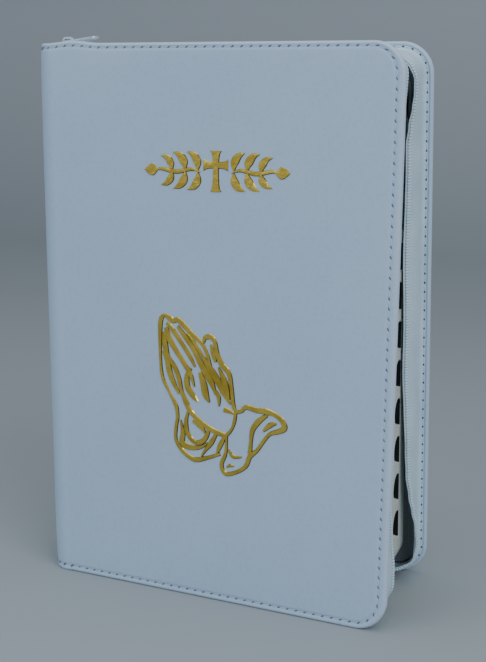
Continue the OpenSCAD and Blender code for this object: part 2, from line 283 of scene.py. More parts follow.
def makeThread():
    finish, tree, bsdf, place = newFinish("waxedThread", 0.55)
    driftColour(tree, bsdf, place, 400.0, look["thread"], look["leatherDark"])
    noiseBump(tree, bsdf, place["Object"], 6000.0, 1.0, 0.4, 0.05 * mm)
    return finish


def makePlain(name, rough, scale, light, dark):  # needle-hole and crease marks, the nylon coil and its gaps; the holes, creases and gaps are painted shade
    finish, tree, bsdf, place = newFinish(name, rough)
    driftColour(tree, bsdf, place, scale, light, dark)
    return finish


def makeGold(name, light, dark):
    finish, tree, bsdf, place = newFinish(name, 0.26, Metallic=1.0)
    colour = driftColour(tree, bsdf, place, 160.0, light, dark)
    rough = remap(tree, colour["Mask"], i3=0.2, i4=0.36)
    tree.links.new(rough, bsdf.inputs["Roughness"])
    noiseBump(tree, bsdf, place["Object"], 420.0, 2.0, 0.6, 0.25 * mm)
    return finish


def makeTapeCloth():
    finish, tree, bsdf, place = newFinish("wovenTape", 0.75, Sheen_Weight=0.25)
    threads = useGroup(tree, "weave", Vector=place["UV"], Along=1000.0, Across=650.0)
    colour = useGroup(tree, "drift", Vector=place["Object"], Scale=60.0,
        Light=look["tape"], Dark=look["tapeShade"])
    gaps = mathNode(tree, "MULTIPLY", threads["Gaps"], 0.7)
    woven = mixColour(tree, gaps, colour["Color"], look["tapeShade"])
    tree.links.new(woven, bsdf.inputs["Base Color"])
    addBump(tree, bsdf, threads["Height"], 0.5, 0.12 * mm)
    return finish


liningWork = dict(
    start=-2.0 * mm, inset=3.95 * mm, top=0.7 * mm, under=1.35 * mm, step=2.5 * mm,
    litFrom=0.112, litTo=0.125,  # metres along the cover: towards the fore edge the lining is painted paler, as painted light where it catches light in the gap
)


def makeLining():
    finish, tree, bsdf, place = newFinish("liningCloth", 0.85, Sheen_Weight=0.2)
    threads = useGroup(tree, "weave", Vector=place["UV"], Along=1500.0, Across=1500.0)
    colour = useGroup(tree, "drift", Vector=place["Object"], Scale=35.0,
        Light=look["lining"], Dark=look["liningShade"])
    along = addNode(tree, "ShaderNodeSeparateXYZ", Vector=place["UV"]).outputs[0]
    # painted light: the lining turns paler towards the fore edge
    litShare = remap(tree, along, i1=liningWork["litFrom"], i2=liningWork["litTo"])
    litColour = mixColour(tree, litShare, colour["Color"], look["liningLit"])
    woven = mixColour(tree, mathNode(tree, "MULTIPLY", threads["Gaps"], 0.5), litColour, look["liningShade"])
    tree.links.new(woven, bsdf.inputs["Base Color"])
    addBump(tree, bsdf, threads["Height"], 0.5, 0.15 * mm)
    return finish


def makePages():
    finish, tree, bsdf, place = newFinish("pageEdges", 0.7)
    squeezed = addNode(tree, "ShaderNodeMapping", Vector=place["Object"], Scale=(12.0, 5200.0, 12.0))
    leaves = addNode(tree, "ShaderNodeTexNoise", Vector=squeezed.outputs[0], Scale=1.0, Detail=3.0)
    gathered = addNode(tree, "ShaderNodeMapping", Vector=place["Object"], Scale=(6.0, 620.0, 6.0))
    sections = addNode(tree, "ShaderNodeTexNoise", Vector=gathered.outputs[0], Scale=1.0, Detail=2.0)
    lines = remap(tree, leaves.outputs[0], i1=0.35, i2=0.62)
    colour = mixColour(tree, lines, look["pageShade"], look["page"])
    warm = mixColour(tree, mathNode(tree, "MULTIPLY", sections.outputs[0], 0.35), colour, look["pageWarm"])
    outward = addNode(tree, "ShaderNodeSeparateXYZ", Vector=place["Normal"]).outputs[1]
    turned = mathNode(tree, "ABSOLUTE", outward)
    flat = remap(tree, turned, i1=0.85, i2=0.97)
    tree.links.new(mixColour(tree, flat, warm, look["page"]), bsdf.inputs["Base Color"])
    edgeOnly = mathNode(tree, "SUBTRACT", 1.0, flat)
    addBump(tree, bsdf, mathNode(tree, "MULTIPLY", lines, edgeOnly), 0.3, 0.1 * mm)
    return finish


def makePaper(name, tint, shade):
    finish, tree, bsdf, place = newFinish(name, 0.8)
    driftColour(tree, bsdf, place, 45.0, tint, shade)
    noiseBump(tree, bsdf, place["Object"], 1800.0, 4.0, 0.2, 0.05 * mm)
    return finish


def makeLabel():
    finish, tree, bsdf, place = newFinish("blackLabel", 0.6, Specular_IOR_Level=0.2)
    driftColour(tree, bsdf, place, 220.0, look["label"], look["labelWorn"])
    noiseBump(tree, bsdf, place["Object"], 1500.0, 3.0, 0.2, 0.05 * mm)
    return finish


def makeMetal(name, tint, rough):
    finish, tree, bsdf, place = newFinish(name, rough, Metallic=0.35, Coat_Weight=0.3)
    driftColour(tree, bsdf, place, 300.0, tint, tuple(0.82 * c for c in tint[:3]) + (1,))
    scratched = addNode(tree, "ShaderNodeMapping", Vector=place["Object"], Scale=(400.0, 4000.0, 4000.0))
    noiseBump(tree, bsdf, scratched.outputs[0], 1.0, 2.0, 0.15, 0.03 * mm)
    return finish


def makeBand():  # woven headband: light and dark stitches along its bead
    finish, tree, bsdf, place = newFinish("headbandSilk", 0.6, Sheen_Weight=0.2)
    parts = addNode(tree, "ShaderNodeSeparateXYZ", Vector=place["Object"])
    stripes = mathNode(tree, "SINE", mathNode(tree, "MULTIPLY", parts.outputs[1], 5200.0))
    share = remap(tree, stripes, i1=-0.3, i2=0.3)
    silk = mixColour(tree, share, look["silkDark"], look["silkLight"])
    tree.links.new(silk, bsdf.inputs["Base Color"])
    addBump(tree, bsdf, stripes, 0.4, 0.15 * mm)
    return finish


finishes = dict(
    leather=makeLeather(), thread=makeThread(),
    holeShade=makePlain("needleHoleShade", 0.8, 300.0, look["holeShade"], look["holeShadeLight"]),
    creaseShade=makePlain("stitchCreaseShade", 0.8, 300.0, look["creaseShade"], look["creaseShadeLight"]),
    gold=makeGold("goldFoil", look["gold"], look["goldDark"]),
    goldShade=makeGold("goldFoilShade", look["goldShade"], look["goldShadeDark"]),
    tape=makeTapeCloth(),
    coil=makePlain("nylonCoil", 0.38, 90.0, look["coil"], look["tape"]),
    coilGapShade=makePlain("coilShade", 0.38, 90.0, look["coilGapShade"], look["coilGapShadeDark"]),
    lining=makeLining(), pages=makePages(), label=makeLabel(), band=makeBand(),
    endpaper=makePaper("endpaper", look["endpaper"], look["endpaperShade"]),
    board=makePaper("coverBoard", look["board"], look["boardShade"]),
    mull=makePaper("mullAndGlue", look["mull"], look["mullShade"]),
    metal=makeMetal("paleEnamel", look["metal"], 0.32),
    stop=makeMetal("stopMetal", look["stopMetal"], 0.3),
)
print("stage: finishes are mixed")


# where a point of a cover lies: u along the cover from its hinge, d from the cover's middle towards the pages
def unrolled(u, d):
    r, outside = book["spineRound"], hingeOut + halfThick
    into = halfThick + d
    if u >= flatEnd:
        return hingeIn + u, outside - into
    turn = (flatEnd - u) / r
    if turn <= math.pi / 2:
        return r - (r - into) * math.sin(turn), outside - r + (r - into) * math.cos(turn)
    return into, outside - r - (flatEnd - u - r * math.pi / 2)


def ease(share):  # a smooth step from 0 to 1
    t = min(1.0, max(0.0, share))
    return t * t * (3 - 2 * t)


def leanAt(side, z):
    low, high = book["frontLean"] if side == front else book["backLean"]
    return math.radians(low + (high - low) * z / coverTop)


# the front cover's leather bulges over the parked slider
parked = dict(near=-5 * mm, far=19 * mm, rise=0.9 * mm, fade=9 * mm)


def bulge(side, u, z):
    along = (u - parked["near"]) / (parked["far"] - parked["near"])
    high = 1 - (coverTop - z) / parked["fade"]
    if side == back or not 0 < along < 1 or high <= 0:
        return 0.0
    return parked["rise"] * math.sin(math.pi * along) ** 2 * ease(high)


def onCover(side, u, d, z, straight=False):
    z += bulge(side, u, z)
    if straight:
        x, y, share = hingeIn + u, hingeOut - d, 1.0
    else:
        x, y = unrolled(u, d)
        share = ease((u / book["softHinge"] + 1) / 2)
    a = leanAt(side, z) * share
    dx, dy = x - hingeIn, y - hingeOut
    return fromBook(hingeIn + dx * math.cos(a) - dy * math.sin(a),
        side * (hingeOut + dx * math.sin(a) + dy * math.cos(a)), z)


def rimPath(inset, uStart, step):
    # points along the three free edges from the bottom of the spine to its top, each with its way inwards
    arm, h, r = book["arm"], coverTop, book["corner"]
    straight, rr = arm - r - uStart, r - inset
    stretches = (straight, max(rr, 3 * mm) * math.pi / 2, h - 2 * r)
    along, round_, up = (max(2, round(x / step)) for x in stretches)
    points = [(uStart + straight * i / along, inset, 0.0, 1.0) for i in range(along)]
    turns = [math.pi / 2 * i / round_ for i in range(round_)]
    corner = [(math.sin(a), math.cos(a)) for a in turns]
    points += [(arm - r + rr * s, r - rr * c, -s, c) for s, c in corner]
    points += [(arm - inset, r + (h - 2 * r) * i / up, -1.0, 0.0) for i in range(up)]
    points += [(arm - r + rr * c, h - r + rr * s, -c, -s) for s, c in corner]
    points += [(arm - r - straight * i / along, h - inset, 0.0, -1.0) for i in range(along + 1)]
    return points


def finishMesh(name, bm, finish, sharp=40, uvFrom=None):
    bmesh.ops.recalc_face_normals(bm, faces=bm.faces)
    if uvFrom:
        uv = bm.loops.layers.uv.new("along")
        layers = [bm.verts.layers.float[label] for label in uvFrom]
        for face in bm.faces:
            for loop in face.loops:
                loop[uv].uv = [loop.vert[layer] for layer in layers]
    mesh = bpy.data.meshes.new(name)
    bm.to_mesh(mesh)
    bm.free()
    mesh.shade_smooth()
    mesh.set_sharp_from_angle(angle=math.radians(sharp))
    mesh.materials.append(finish)
    piece = bpy.data.objects.new(name, mesh)
    show(piece)
    return piece


def skin(bm, rows, closed=False):  # faces between neighbouring rows of points
    for a, b in zip(rows, rows[1:]):
        for k in range(len(a) if closed else len(a) - 1):
            n = (k + 1) % len(a)
            bm.faces.new((a[k], a[n], b[n], b[k]))
    if closed:
        bm.faces.new(rows[0])
        bm.faces.new(reversed(rows[-1]))


def coverLeaf(name, side, finish, uStart, step, profile, top, under):
    # profile(u, z, inU, inZ) runs from the outside round the edge to the inside as (distance in, depth) pairs
    bm = bmesh.new()
    layers = [bm.verts.layers.float.new(label) for label in ("u", "z", "rim")]
    path = rimPath(0, uStart, step)
    arm, r = book["arm"], book["corner"]

    def addVert(u, z, d, rim):
        vert = bm.verts.new(onCover(side, u, d, z))
        for layer, value in zip(layers, (u, z, rim)):
            vert[layer] = value
        return vert

    rows = []
    # each point's rim value is how much painted highlight it takes near the edge
    for u, z, inU, inZ in path:
        row = [(u + inU * w, z + inZ * w, d, math.exp(-w / leatherWork["rimFade"]))
            for w, d in profile(u, z, inU, inZ)]
        rows.append([addVert(*p) for p in row])
    skin(bm, rows)
    columns = [u for u, z, inU, inZ in path if inZ == 1 and u < arm - r] + [arm - r]
    heights = sorted({round(z, 7) for u, z, inU, inZ in path if inU == -1} | {round(coverTop - r, 7)})
    for height in (top, under):
        skin(bm, [[addVert(u, z, height(u, z), 0.0) for z in heights] for u in columns])
    bmesh.ops.remove_doubles(bm, verts=bm.verts, dist=0.002 * mm)
    bmesh.ops.holes_fill(bm, edges=[e for e in bm.edges if e.is_boundary])
    return finishMesh(name, bm, finish, uvFrom=("u", "z"))


leatherWork = dict(
    step=0.9 * mm,
    crown=0.55 * mm,  # the padding under the leather
    shoulder=7 * mm,
    spineShoulder=3.5 * mm,  # keeps it clear of the other half when the book is open
    sag=0.10 * mm,  # slow unevenness of the padded field
    sheet=1.0 * mm,
    roll=1.0 * mm,
    turnIn=3.1 * mm,  # the leather that is folded to the inside
    spineRim=1.6 * mm,  # thickness of the folded edge over the spine
    groove=0.4 * mm,
    grooveWidth=0.62 * mm,
    rimFade=1.2 * mm,  # how soon the painted highlight on the rim fades
)
sewing = dict(
    pitch=3.6 * mm, bottom=2.3 * mm, fore=3.1 * mm, top=1.75 * mm, inside=2.1 * mm,
    # length, width and height of each shape in a row, and its slant in radians
    stitch=(3.0 * mm, 0.62 * mm, 0.5 * mm), stitchSlant=-0.16,
    creaseShade=(2.5 * mm, 0.8 * mm, 0.42 * mm), creaseSlant=-0.75,
    innerStitch=(2.7 * mm, 0.5 * mm, 0.4 * mm), innerSlant=0.1, innerHole=(1.3 * mm, 0.85 * mm, 0.4 * mm),
    step=1.5 * mm, spineGap=1.2 * mm, innerStart=5 * mm, sunk=0.02 * mm, innerSunk=0.06 * mm,
)


def stitchInset(inU, inZ):
    return sewing["bottom"] * max(inZ, 0) ** 2 + sewing["fore"] * inU ** 2 + sewing["top"] * max(-inZ, 0) ** 2


def swell(u, z):  # how far the outside stands proud of the flat cover
    rise = 1.0
    for gap in (book["arm"] - u, z, coverTop - z):
        rise *= 1 - math.exp(-max(gap, 0) / leatherWork["shoulder"])
    rise *= 1 - math.exp(-max(u - spineMid, 0) / leatherWork["spineShoulder"])
    uneven = noise.noise(Vector((u * 28, z * 22, 3.7)))
    return rise * (leatherWork["crown"] + leatherWork["sag"] * uneven)


def rimThickness(u):
    thin = leatherWork["spineRim"]
    return thin + (book["thick"] - thin) * ease((u + 4 * mm) / (6 * mm))


def outerDepth(u, z, w, inU, inZ):
    line = stitchInset(inU, inZ)
    pressed = leatherWork["groove"] * math.exp(-((w - line) / leatherWork["grooveWidth"]) ** 2)
    return -halfThick - swell(u + inU * w, z + inZ * w) + pressed


def leatherProfile(u, z, inU, inZ):
    work = leatherWork
    outward = [12, 10.4, 9, 7.8, 6.8, 6, 5.3, 4.7, 4.2, 3.8, 3.45, 3.1, 2.8, 2.5, 2.2, 1.95, 1.7, 1.45, 1.2]
    points = [(w * mm, outerDepth(u, z, w * mm, inU, inZ)) for w in outward]
    start = outerDepth(u, z, work["roll"], inU, inZ)
    inner = rimThickness(u) - halfThick
    middle, half = (start + inner) / 2, (inner - start) / 2
    for i in range(9):
        a = math.pi / 2 - math.pi * i / 8
        points.append((work["roll"] * (1 - math.cos(a)), middle - half * math.sin(a)))
    for w in (1.2, 1.4, 1.6, 2.0, 2.4, 2.8):
        pressed = 0.25 * mm * min(1.0, max(0.0, (w - 1.0) / 0.6))  # the tape's sewn edge lies in this step
        points.append((w * mm, inner - pressed))
    floor_ = work["sheet"] - halfThick
    points += [(work["turnIn"] - 0.1 * mm, inner - 0.05 * mm), (work["turnIn"], inner - 0.2 * mm),
        (work["turnIn"], floor_), (12 * mm, floor_)]
    return points


def makeLeatherCover(side, name):
    return coverLeaf(name, side, finishes["leather"], spineMid, leatherWork["step"], leatherProfile,
        lambda u, z: -halfThick - swell(u, z), lambda u, z: leatherWork["sheet"] - halfThick)


boardWork = dict(start=2.6 * mm, inset=3.3 * mm, top=-0.45 * mm, under=0.65 * mm, step=6 * mm)


def leafProfile(inset, top, under):
    def profile(u, z, inU, inZ):
        return [(12 * mm, top), (inset + 0.15 * mm, top), (inset, top + 0.15 * mm),
            (inset, under - 0.15 * mm), (inset + 0.15 * mm, under), (12 * mm, under)]
    return profile


def makeFlatLeaf(name, side, finish, work):
    profile = leafProfile(work["inset"], work["top"], work["under"])
    return coverLeaf(name, side, finish, work["start"], work["step"], profile,
        lambda u, z: work["top"], lambda u, z: work["under"])


# Geometry Nodes: small rounded shapes in a row along a path, with dark shapes between them as painted shade
# of needle holes and gaps
def makeRowTree():
    tree = bpy.data.node_groups.new("rowAlongPath", "GeometryNodeTree")
    tree.is_modifier = True
    inputs = {}
    for label, kind in (("Geometry", "Geometry"), ("Pitch", "Float"), ("Size", "Vector"), ("Slant", "Float"),
            ("Hole Size", "Vector"), ("Hole Slant", "Float"), ("Material", "Material"),
            ("Hole Material", "Material")):
        inputs[label] = tree.interface.new_socket(label, in_out="INPUT", socket_type="NodeSocket" + kind)
    tree.interface.new_socket("Geometry", in_out="OUTPUT", socket_type="NodeSocketGeometry")
    given = tree.nodes.new("NodeGroupInput").outputs

    def bead(size, slant, shift, material, segments, rings):
        ball = addNode(tree, "GeometryNodeMeshUVSphere", Segments=segments, Rings=rings, Radius=0.5)
        turned = addNode(tree, "ShaderNodeCombineXYZ", Z=given[slant])
        shaped = addNode(tree, "GeometryNodeTransform", Geometry=ball.outputs[0], Scale=given[size],
            Rotation=turned.outputs[0])
        if shift:
            offset = addNode(tree, "ShaderNodeCombineXYZ", X=mathNode(tree, "MULTIPLY", given["Pitch"], 0.5))
            tree.links.new(offset.outputs[0], shaped.inputs["Translation"])
        smooth = addNode(tree, "GeometryNodeSetShadeSmooth", Geometry=shaped.outputs[0])
        return addNode(tree, "GeometryNodeSetMaterial", Geometry=smooth.outputs[0], Material=given[material])

    joined = tree.nodes.new("GeometryNodeJoinGeometry")
    for made in (bead("Size", "Slant", False, "Material", 8, 6),
            bead("Hole Size", "Hole Slant", True, "Hole Material", 8, 4)):
        tree.links.new(made.outputs[0], joined.inputs[0])
    curve = addNode(tree, "GeometryNodeMeshToCurve", Mesh=given["Geometry"])
    spaced = addNode(tree, "GeometryNodeResampleCurve", dict(mode="LENGTH"), Curve=curve.outputs[0],
        Length=given["Pitch"])
    facing = addNode(tree, "GeometryNodeInputNamedAttribute", dict(data_type="FLOAT_VECTOR"), Name="facing")
    tangent = tree.nodes.new("GeometryNodeInputTangent")
    turn = addNode(tree, "FunctionNodeAxesToRotation", dict(primary_axis="X", secondary_axis="Z"),
        i0=tangent.outputs[0], i1=facing.outputs[0])
    placed = addNode(tree, "GeometryNodeInstanceOnPoints", Points=spaced.outputs[0],
        Instance=joined.outputs[0], Rotation=turn.outputs[0])
    real = addNode(tree, "GeometryNodeRealizeInstances", Geometry=placed.outputs[0])
    result = tree.nodes.new("NodeGroupOutput")
    tree.links.new(real.outputs[0], result.inputs[0])
    return tree, {label: socket.identifier for label, socket in inputs.items()}


rowTree, rowInputs = makeRowTree()


def rowPiece(name, points, facings, **values):
    mesh = bpy.data.meshes.new(name + "Path")
    mesh.from_pydata(points, [(i, i + 1) for i in range(len(points) - 1)], [])
    facing = mesh.attributes.new("facing", "FLOAT_VECTOR", "POINT")
    facing.data.foreach_set("vector", [c for f in facings for c in f])
    carrier = bpy.data.objects.new(name + "Path", mesh)
    show(carrier)
    modifier = carrier.modifiers.new("row", "NODES")
    modifier.node_group = rowTree
    for label, value in values.items():
        modifier[rowInputs[label.replace("_", " ")]] = value
    bpy.context.view_layer.update()
    made = bpy.data.meshes.new_from_object(carrier.evaluated_get(bpy.context.evaluated_depsgraph_get()))
    carrier.modifiers.clear()
    bpy.data.objects.remove(carrier)
    made.name = name
    piece = bpy.data.objects.new(name, made)
    show(piece)
    return piece


def makeStitches(side, name):  # the outside row and the row on the folded leather inside
    points, facings, innerPoints, innerFacings = [], [], [], []
    for u, z, inU, inZ in rimPath(0, spineMid + sewing["spineGap"], sewing["step"]):
        w = stitchInset(inU, inZ)
        su, sz = u + inU * w, z + inZ * w
        d = outerDepth(u, z, w, inU, inZ) + sewing["sunk"]
        here = onCover(side, su, d, sz)
        points.append(here)
        facings.append((onCover(side, su, d - mm, sz) - here).normalized())
    for u, z, inU, inZ in rimPath(0, sewing["innerStart"], sewing["step"]):
        w = sewing["inside"]
        su, sz = u + inU * w, z + inZ * w
        here = onCover(side, su, tapeWork["root"] + tapeWork["thick"] / 2 - sewing["innerSunk"], sz)
        innerPoints.append(here)
        innerFacings.append((onCover(side, su, halfThick + mm, sz) - here).normalized())
    # the dark crease beside each outside stitch and the dark holes of the inside row are painted shade
    outer = rowPiece(name, points, facings, Size=sewing["stitch"], Slant=side * sewing["stitchSlant"],
        Hole_Size=sewing["creaseShade"], Hole_Slant=side * sewing["creaseSlant"],
        Pitch=sewing["pitch"], Material=finishes["thread"], Hole_Material=finishes["creaseShade"])
    inner = rowPiece(name + "Inside", innerPoints, innerFacings, Size=sewing["innerStitch"],
        Slant=sewing["innerSlant"], Hole_Size=sewing["innerHole"], Hole_Slant=0.0,
        Pitch=sewing["pitch"], Material=finishes["thread"], Hole_Material=finishes["holeShade"])
    return outer, inner


slideWay = Vector(jointNamed["zipper_slide"]["axis"])
backCourse = math.atan2(slideWay.y, slideWay.x)
tapeWork = dict(
    inset=3.5 * mm, thick=0.5 * mm, flange=1.5 * mm, root=1.72 * mm, bend=1.5 * mm,
    freeFront=14.6 * mm, freeBack=16.6 * mm, pitch=1.1 * mm, curl=3.2,
    startFront=4 * mm, startBack=-4 * mm, step=1.6 * mm,
    follow=math.sin(backCourse),  # along the top the back tape's free edge keeps to the slider's line
    frontShare=0.6,  # the front tape sways less along its two ends
    wave=0.2, waves=130,  # a slight ripple up the fore edge, in mm and radians per metre
    # how far the free edge leans out of line, in mm at heights up the fore edge: the loose tape falls in
    # against the pages and bows out at the corners
    backSway=((0, -3.0), (6, -1.8), (12, 0.8), (18, 1.9), (25, 1.5), (31, 0.3), (37, -0.9), (46, -2.2),
        (56, -2.8), (70, -3.2), (90, -3.6), (115, -3.7), (152, -3.4), (172, -3.0), (180, -1.9), (186, -0.7),
        (191, -0.1), (196, -0.2), (201, -1.5), (207, -3.2)),
    frontSway=((0, -3.0), (8, -1.8), (13, -0.5), (20, -0.5), (30, -1.7), (45, -2.9), (150, -3.0), (180, -2.0),
        (204, -1.0)),
    bottomSway=((-4, 0), (20, -0.5), (70, -2.2), (110, -2.8), (132, -3.4)),
    topSway=((-4, 0), (122, 0), (132, -2.4)),
)


def between(table, at):  # a smooth curve through (place, value) pairs
    for (p0, v0), (p1, v1) in zip(table, table[1:]):
        if at <= p1:
            return v0 + (v1 - v0) * ease((at - p0) / (p1 - p0))
    return table[-1][1]


def tapeSway(side, u, z, inU, inZ):
    fore = between(tapeWork["frontSway" if side == front else "backSway"], z / mm)
    share = 1.0 if side == back else tapeWork["frontShare"]
    ends = between(tapeWork["bottomSway" if inZ > 0 else "topSway"], u / mm) * share
    wave = tapeWork["wave"] * math.sin(z * tapeWork["waves"])
    return (fore * inU ** 2 + ends * inZ ** 2 + wave * inU ** 2) * mm


def tapeFree(side):
    return tapeWork["freeFront"] if side == front else tapeWork["freeBack"]


def tapeStart(side):
    return tapeWork["startFront"] if side == front else tapeWork["startBack"]


def tapeCourse(side):
    # the cross section from sewn edge to free edge, as (way in from the path, depth, share of the wall)
    work, inset = tapeWork, tapeWork["inset"]
    course = [(work["flange"] - inset, work["root"], 0.0), (-work["bend"] - 0.1 * mm, work["root"], 0.0)]
    for i in range(1, 6):
        a = math.pi / 2 * i / 5
        way, rise = -work["bend"] * (1 - math.sin(a)), work["bend"] * (1 - math.cos(a))
        course.append((way, work["root"] + rise, 0.0))
    start = work["root"] + work["bend"]
    for i in range(1, 11):
        course.append((0.0, start + (tapeFree(side) - start) * i / 10, i / 10))
    return course


def tapePoint(side, spot, way, depth, share, offset=0.0):
    u, z, inU, inZ = spot
    w = way + offset - tapeSway(side, u, z, inU, inZ) * share ** tapeWork["curl"]
    if side == back:
        depth -= u * tapeWork["follow"] * max(-inZ, 0) ** 2 * share
    return onCover(side, u + inU * w, depth, z + inZ * w, straight=True)


def makeTape(side, name):
    course, half = tapeCourse(side), tapeWork["thick"] / 2
    bm = bmesh.new()
    along, across = (bm.verts.layers.float.new(label) for label in ("along", "across"))
    rings, length, last = [], 0.0, None
    ring = []
    for sign, stretch in ((-1, course), (1, course[::-1])):
        for k, (way, depth, share) in enumerate(stretch):
            a, b = stretch[max(k - 1, 0)], stretch[min(k + 1, len(stretch) - 1)]
            slope = Vector((b[0] - a[0], b[1] - a[1])).normalized() * -sign
            ring.append((way + sign * slope.y * half, depth - sign * slope.x * half, share))
    run, reached = [0.0], 0.0
    for a, b in zip(ring, ring[1:]):
        reached += math.hypot(b[0] - a[0], b[1] - a[1])
        run.append(reached)
    for spot in rimPath(tapeWork["inset"], tapeStart(side), tapeWork["step"]):
        here = tapePoint(side, spot, 0.0, 5 * mm, 0.0)
        length += (here - last).length if last else 0.0
        last = here
        verts = []
        for (way, depth, share), v in zip(ring, run):
            vert = bm.verts.new(tapePoint(side, spot, way, depth, share))
            vert[along], vert[across] = length, v
            verts.append(vert)
        rings.append(verts)
    skin(bm, rings, closed=True)
    width = sum(math.hypot(b[0] - a[0], b[1] - a[1]) for a, b in zip(course, course[1:]))
    return finishMesh(name, bm, finishes["tape"], sharp=60, uvFrom=("along", "across")), length, width


coilWork = dict(
    bead=(1.45 * mm, 2.2 * mm, 0.95 * mm), gap=(0.34 * mm, 1.7 * mm, 0.76 * mm),
    back=1.0 * mm, proud=0.5 * mm, step=1.2 * mm,
    frontGap=2.4 * mm,  # the front coil starts past the open end's stop
)


def makeCoilRow(side, name):
    start = tapeStart(side) + (coilWork["frontGap"] if side == front else 0)
    points, facings = [], []
    free = tapeFree(side)
    wall = free - tapeWork["root"] - tapeWork["bend"]
    share = 1 - coilWork["back"] / wall
    for spot in rimPath(tapeWork["inset"], start, coilWork["step"]):
        on = tapePoint(side, spot, 0.0, free - coilWork["back"], share)
        edge = tapePoint(side, spot, 0.0, free, 1.0)
        ahead = (edge - on).normalized()
        outward = tapePoint(side, spot, 0.0, free, 1.0, -1.0 * mm) - edge
        outward = (outward - ahead * outward.dot(ahead)).normalized()
        points.append(on + outward * coilWork["proud"])
        facings.append(outward)
    # the dark beads between the coil's turns are painted shade
    return rowPiece(name, points, facings, Pitch=tapeWork["pitch"], Size=coilWork["bead"], Slant=0.1,
        Hole_Size=coilWork["gap"], Hole_Slant=0.1, Material=finishes["coil"],
        Hole_Material=finishes["coilGapShade"])


stopWork = dict(depths=(14.4, 16.7), along=(0.1, 2.1), across=(-0.85, 0.85), round=0.35)  # mm


def makeStops(side, name, ends):
    bm = bmesh.new()
    start = tapeStart(side)
    for z in ends:
        corners = []
        for d in stopWork["depths"]:
            for u in stopWork["along"]:
                for w in stopWork["across"]:
                    here = onCover(side, start + u * mm, d * mm, z + w * mm, straight=True)
                    corners.append(bm.verts.new(here))
        for sides in ((0, 1, 3, 2), (4, 5, 7, 6), (0, 1, 5, 4), (2, 3, 7, 6), (0, 2, 6, 4), (1, 3, 7, 5)):
            bm.faces.new([corners[k] for k in sides])
    bmesh.ops.bevel(bm, geom=list(bm.edges), offset=stopWork["round"] * mm, segments=3, affect="EDGES",
        profile=0.6)
    return finishMesh(name, bm, finishes["stop"])


covers = (("front_cover", front, "front"), ("back_cover", back, "back"))
bendY = hingeOut + halfThick
for body, side, word in covers:
    hinged = (word + "_book_half", body)
    still, turned = (fromBook(x, side * bendY, 0) for x in book["turning"])
    spots = dict(start=still, end=turned)
    leather = makeLeatherCover(side, word + "CoverLeather")
    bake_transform(leather, *hinged, **spots)
    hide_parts(word + "_leather", "spine_leather_" + word)
    stitches, inside = makeStitches(side, word + "CoverStitches")
    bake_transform(stitches, *hinged, **spots)
    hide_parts(word + "_stitching")
    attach(inside, body)
    board = makeFlatLeaf(word + "CoverBoard", side, finishes["board"], boardWork)
    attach(board, body)
    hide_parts(word + "_board")
    lining = makeFlatLeaf(word + "CoverLining", side, finishes["lining"], liningWork)
    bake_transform(lining, *hinged, **spots)
    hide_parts(word + "_lining")
    tape, length, width = makeTape(side, word + "ZipTape")
    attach(tape, body)
    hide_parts(word + "_tape")
    coil = makeCoilRow(side, word + "ZipCoil")
    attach(coil, body)
    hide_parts(word + "_coil")
    ends = (tapeWork["inset"],) if side == back else (tapeWork["inset"], coverTop - tapeWork["inset"])
    stops = makeStops(side, word + "ZipStops", ends)
    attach(stops, body)
    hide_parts("front_stops" if side == front else "back_stop")
    print("stage:", word, "cover is made, tape length", round(length, 4))


# gilding: raised ribbons that lie on the leather
def smoothLine(points, closed=False, per=7):
    line, n = [], len(points)
    spans = n if closed else n - 1
    for i in range(spans):
        if closed:
            p0, p1, p2, p3 = (points[(i + k) % n] for k in (-1, 0, 1, 2))
        else:
            p0, p1, p2, p3 = points[max(i - 1, 0)], points[i], points[i + 1], points[min(i + 2, n - 1)]
        for s in range(per):
            t = s / per
            line.append(tuple(0.5 * (2 * b + (c - a) * t + (2 * a - 5 * b + 4 * c - d) * t * t
                + (3 * b - a - 3 * c + d) * t ** 3) for a, b, c, d in zip(p0, p1, p2, p3)))
    if not closed:
        line.append(tuple(points[-1]))
    return line


foil = dict(least=0.05 * mm, bevel=0.36 * mm, bevelShare=0.6, sunk=-0.1 * mm, crown=0.03 * mm, shaded=0.3)


def ribbon(bm, line, lift):  # line holds (u, z, half width) in metres
    rows = []
    for i, (u, z, w) in enumerate(line):
        a, b = line[max(i - 1, 0)], line[min(i + 1, len(line) - 1)]
        along = Vector((b[0] - a[0], b[1] - a[1])).normalized()
        side = Vector((-along.y, along.x))
        w = max(w, foil["least"])
        bevel = min(foil["bevel"], foil["bevelShare"] * w)
        row = []
        for across, rise in ((-w, foil["sunk"]), (-w + bevel, lift), (0, lift + foil["crown"]),
                (w - bevel, lift), (w, foil["sunk"])):
            pu, pz = u + side.x * across, z + side.y * across
            row.append(bm.verts.new(onCover(front, pu, -halfThick - swell(pu, pz) - rise, pz)))
        rows.append(row)
    for i, (a, b) in enumerate(zip(rows, rows[1:])):
        along = Vector((line[i + 1][0] - line[i][0], line[i + 1][1] - line[i][1])).normalized()
        shaded = along.y * 0.85 + along.x * 0.5  # how far the stroke's left side looks away from the light
        for k in range(5):
            n = (k + 1) % 5
            face = bm.faces.new((a[k], a[n], b[n], b[k]))
            # bevel sides that look away from the light take the gold's painted shade
            if (k == 0 and shaded > foil["shaded"]) or (k == 3 and shaded < -foil["shaded"]):
                face.material_index = 1
    bm.faces.new(rows[0])
    bm.faces.new(reversed(rows[-1]))


